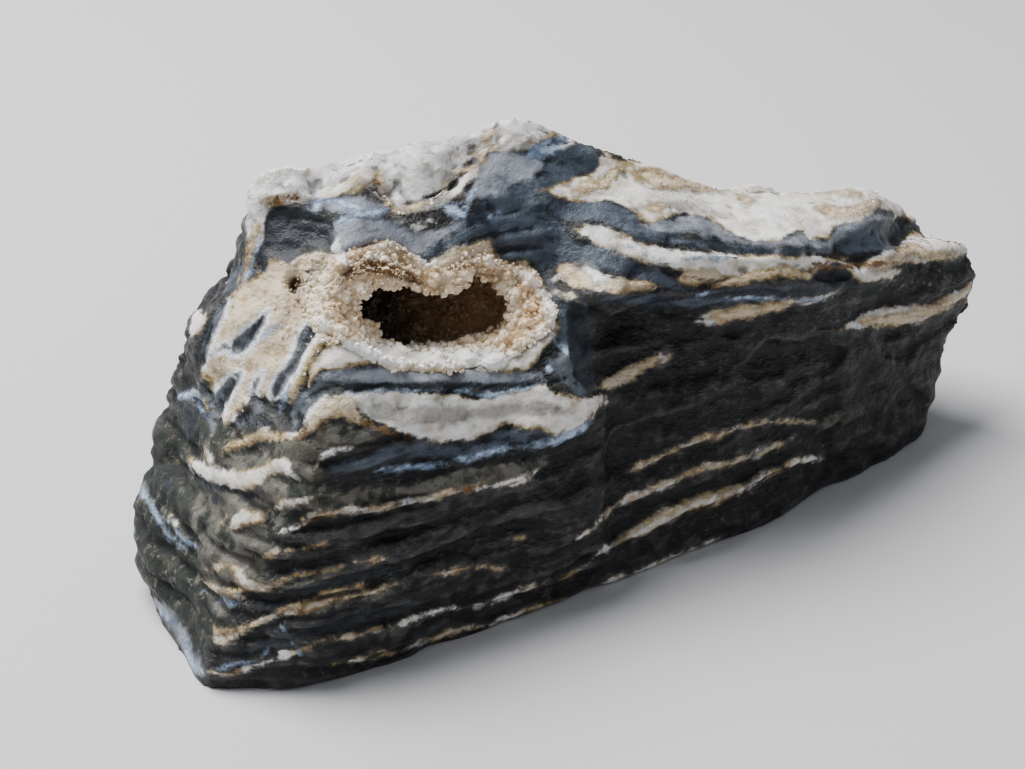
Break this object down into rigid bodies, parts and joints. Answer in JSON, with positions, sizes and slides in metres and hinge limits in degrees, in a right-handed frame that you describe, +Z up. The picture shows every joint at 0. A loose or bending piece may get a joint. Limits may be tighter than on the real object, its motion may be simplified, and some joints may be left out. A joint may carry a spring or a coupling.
{
  "type": "geode",
  "caption": "Broken block of banded agate with a crystal-lined pocket in its upper front slope; rests on a flat underside.",
  "frame": {"origin": "centre of the bounding box in plan, at the height of the flat underside", "axes": "+X along the block to its low right end, +Y from the broken front with the pocket to the back, +Z up"},
  "size_m": [0.1266, 0.0522, 0.0535],
  "materials": {
    "banded_agate": "broken and weathered, waxy to dull, dark grey with white, tan and blue-grey bands",
    "druzy_quartz": "glittering crust of small cream and tan crystals"
  },
  "bodies": {
    "root": {"rock": "banded_agate", "crystal_crust": "druzy_quartz"}
  },
  "joints": []
}
